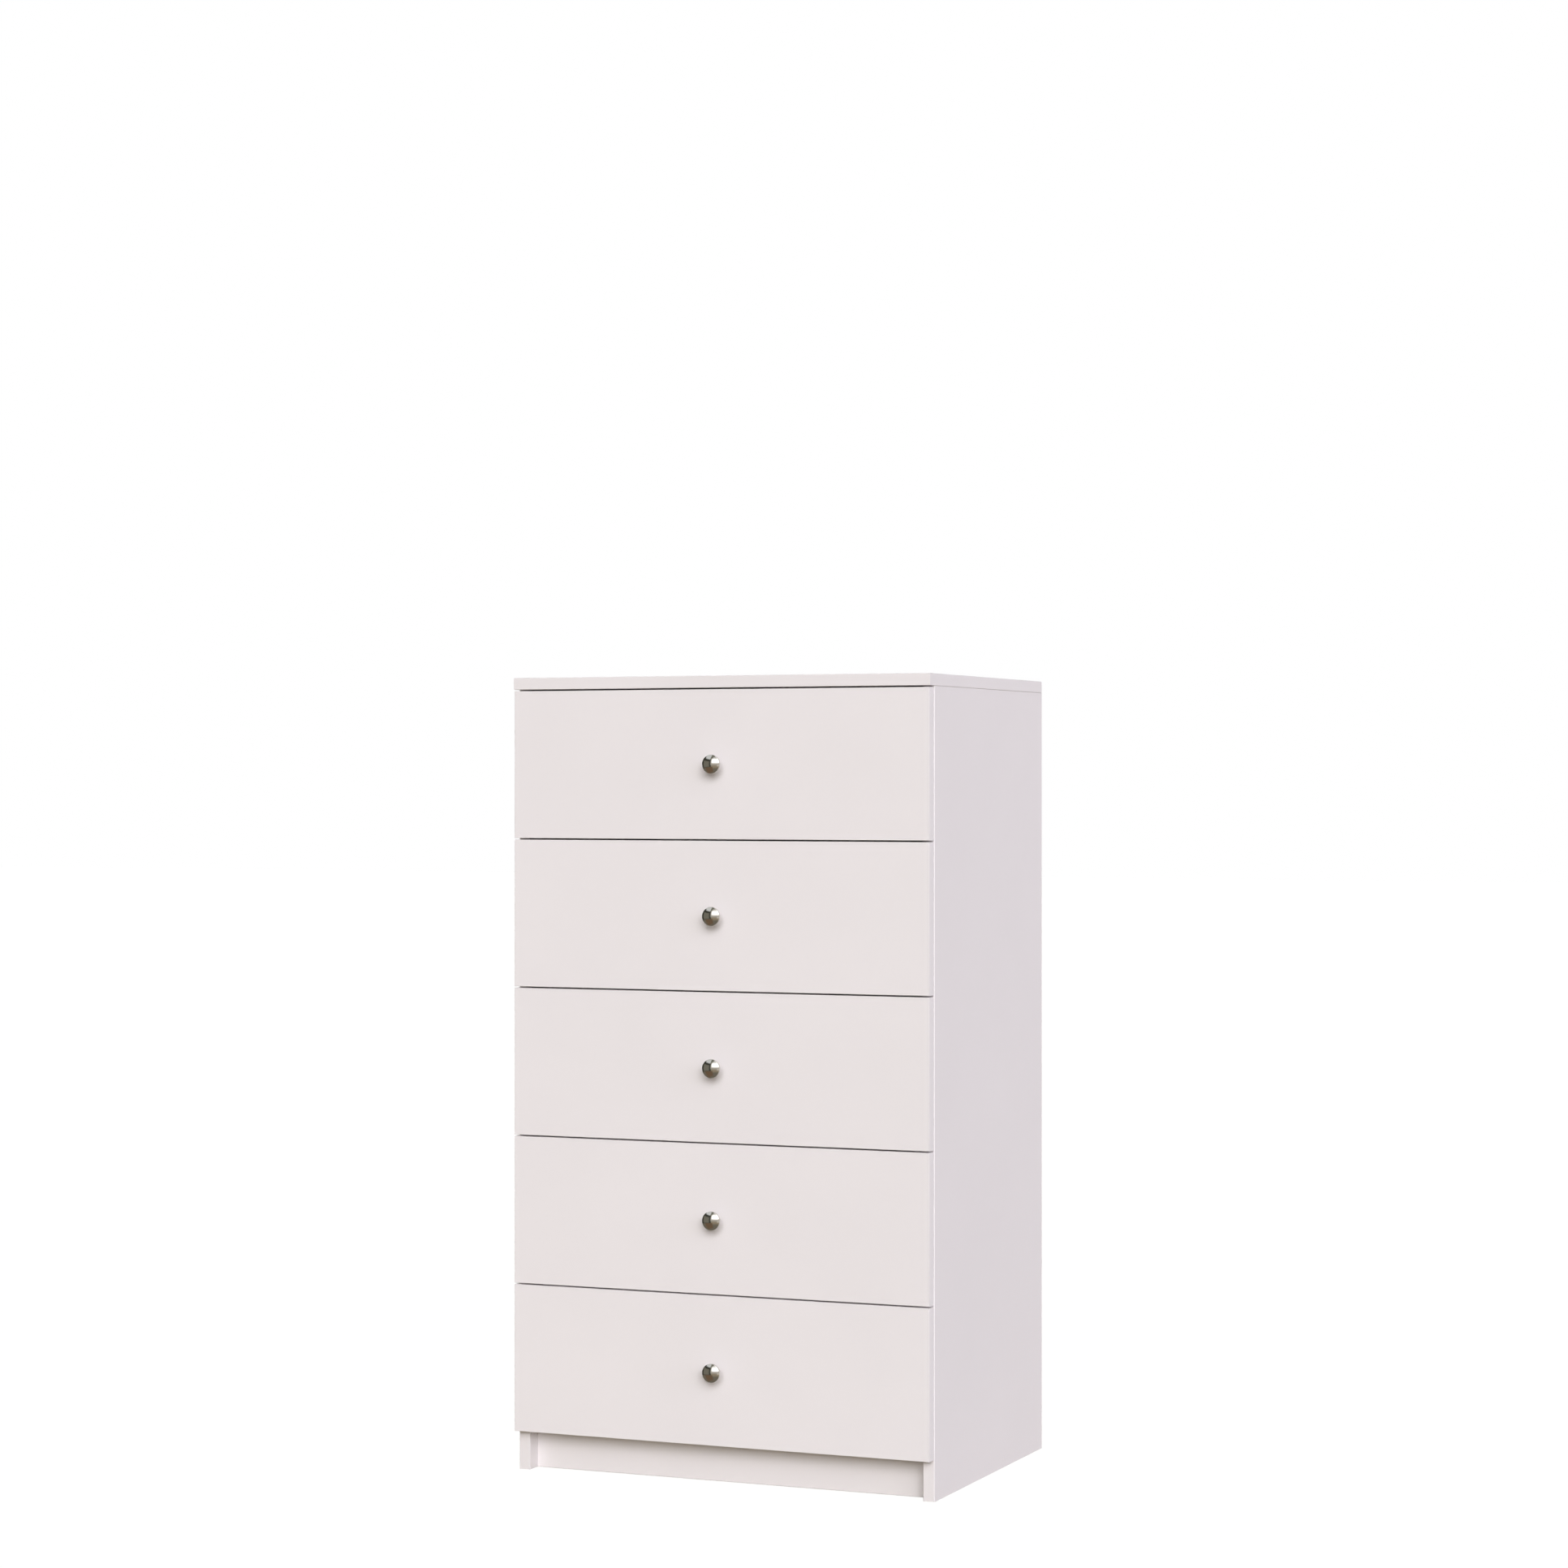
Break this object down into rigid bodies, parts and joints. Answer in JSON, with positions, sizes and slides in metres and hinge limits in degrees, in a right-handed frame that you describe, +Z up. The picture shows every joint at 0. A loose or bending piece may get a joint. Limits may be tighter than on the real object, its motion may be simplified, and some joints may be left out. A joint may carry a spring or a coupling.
{
  "type": "tall chest of drawers",
  "caption": "Tall narrow chest of drawers in pale melamine board with small round metal knobs, a recessed plinth and drawers on roller runners.",
  "frame": {"origin": "on the floor, at the middle of the footprint with the knobs included", "axes": "+Z up, -Y out of the drawer fronts towards the user, +X to the right seen from the front"},
  "size_m": [0.6, 0.4641, 1.07],
  "materials": {
    "carcass_board": "matt warm off-white melamine face and edge banding on chipboard",
    "front_board": "matt warm off-white melamine face and edge banding on chipboard",
    "drawer_board": "matt off-white melamine on chipboard",
    "hardboard": "hardboard sheet with a pale lacquered face and a bare brown back",
    "runner_steel": "white epoxy powder coat on folded steel, with white nylon rollers",
    "knob_metal": "bright nickel plate"
  },
  "bodies": {
    "carcass": {"top_panel": "carcass_board", "left_side_panel": "carcass_board", "right_side_panel": "carcass_board", "bottom_panel": "carcass_board", "plinth": "carcass_board", "back_panel": "hardboard", "cabinet_runner_1_left": "runner_steel", "cabinet_runner_1_right": "runner_steel", "cabinet_runner_2_left": "runner_steel", "cabinet_runner_2_right": "runner_steel", "cabinet_runner_3_left": "runner_steel", "cabinet_runner_3_right": "runner_steel", "cabinet_runner_4_left": "runner_steel", "cabinet_runner_4_right": "runner_steel", "cabinet_runner_5_left": "runner_steel", "cabinet_runner_5_right": "runner_steel"},
    "drawer_1": {"drawer_1_front": "front_board", "drawer_1_left_side": "drawer_board", "drawer_1_right_side": "drawer_board", "drawer_1_back": "drawer_board", "drawer_1_bottom": "hardboard", "drawer_1_knob": "knob_metal", "drawer_1_left_runner": "runner_steel", "drawer_1_right_runner": "runner_steel"},
    "drawer_2": {"drawer_2_front": "front_board", "drawer_2_left_side": "drawer_board", "drawer_2_right_side": "drawer_board", "drawer_2_back": "drawer_board", "drawer_2_bottom": "hardboard", "drawer_2_knob": "knob_metal", "drawer_2_left_runner": "runner_steel", "drawer_2_right_runner": "runner_steel"},
    "drawer_3": {"drawer_3_front": "front_board", "drawer_3_left_side": "drawer_board", "drawer_3_right_side": "drawer_board", "drawer_3_back": "drawer_board", "drawer_3_bottom": "hardboard", "drawer_3_knob": "knob_metal", "drawer_3_left_runner": "runner_steel", "drawer_3_right_runner": "runner_steel"},
    "drawer_4": {"drawer_4_front": "front_board", "drawer_4_left_side": "drawer_board", "drawer_4_right_side": "drawer_board", "drawer_4_back": "drawer_board", "drawer_4_bottom": "hardboard", "drawer_4_knob": "knob_metal", "drawer_4_left_runner": "runner_steel", "drawer_4_right_runner": "runner_steel"},
    "drawer_5": {"drawer_5_front": "front_board", "drawer_5_left_side": "drawer_board", "drawer_5_right_side": "drawer_board", "drawer_5_back": "drawer_board", "drawer_5_bottom": "hardboard", "drawer_5_knob": "knob_metal", "drawer_5_left_runner": "runner_steel", "drawer_5_right_runner": "runner_steel"}
  },
  "joints": [
    {"name": "drawer_1_slide", "type": "slide", "parent": "carcass", "child": "drawer_1", "axis": [0, -1, 0], "range_m": [0, 0.3]},
    {"name": "drawer_2_slide", "type": "slide", "parent": "carcass", "child": "drawer_2", "axis": [0, -1, 0], "range_m": [0, 0.3]},
    {"name": "drawer_3_slide", "type": "slide", "parent": "carcass", "child": "drawer_3", "axis": [0, -1, 0], "range_m": [0, 0.3]},
    {"name": "drawer_4_slide", "type": "slide", "parent": "carcass", "child": "drawer_4", "axis": [0, -1, 0], "range_m": [0, 0.3]},
    {"name": "drawer_5_slide", "type": "slide", "parent": "carcass", "child": "drawer_5", "axis": [0, -1, 0], "range_m": [0, 0.3]}
  ]
}
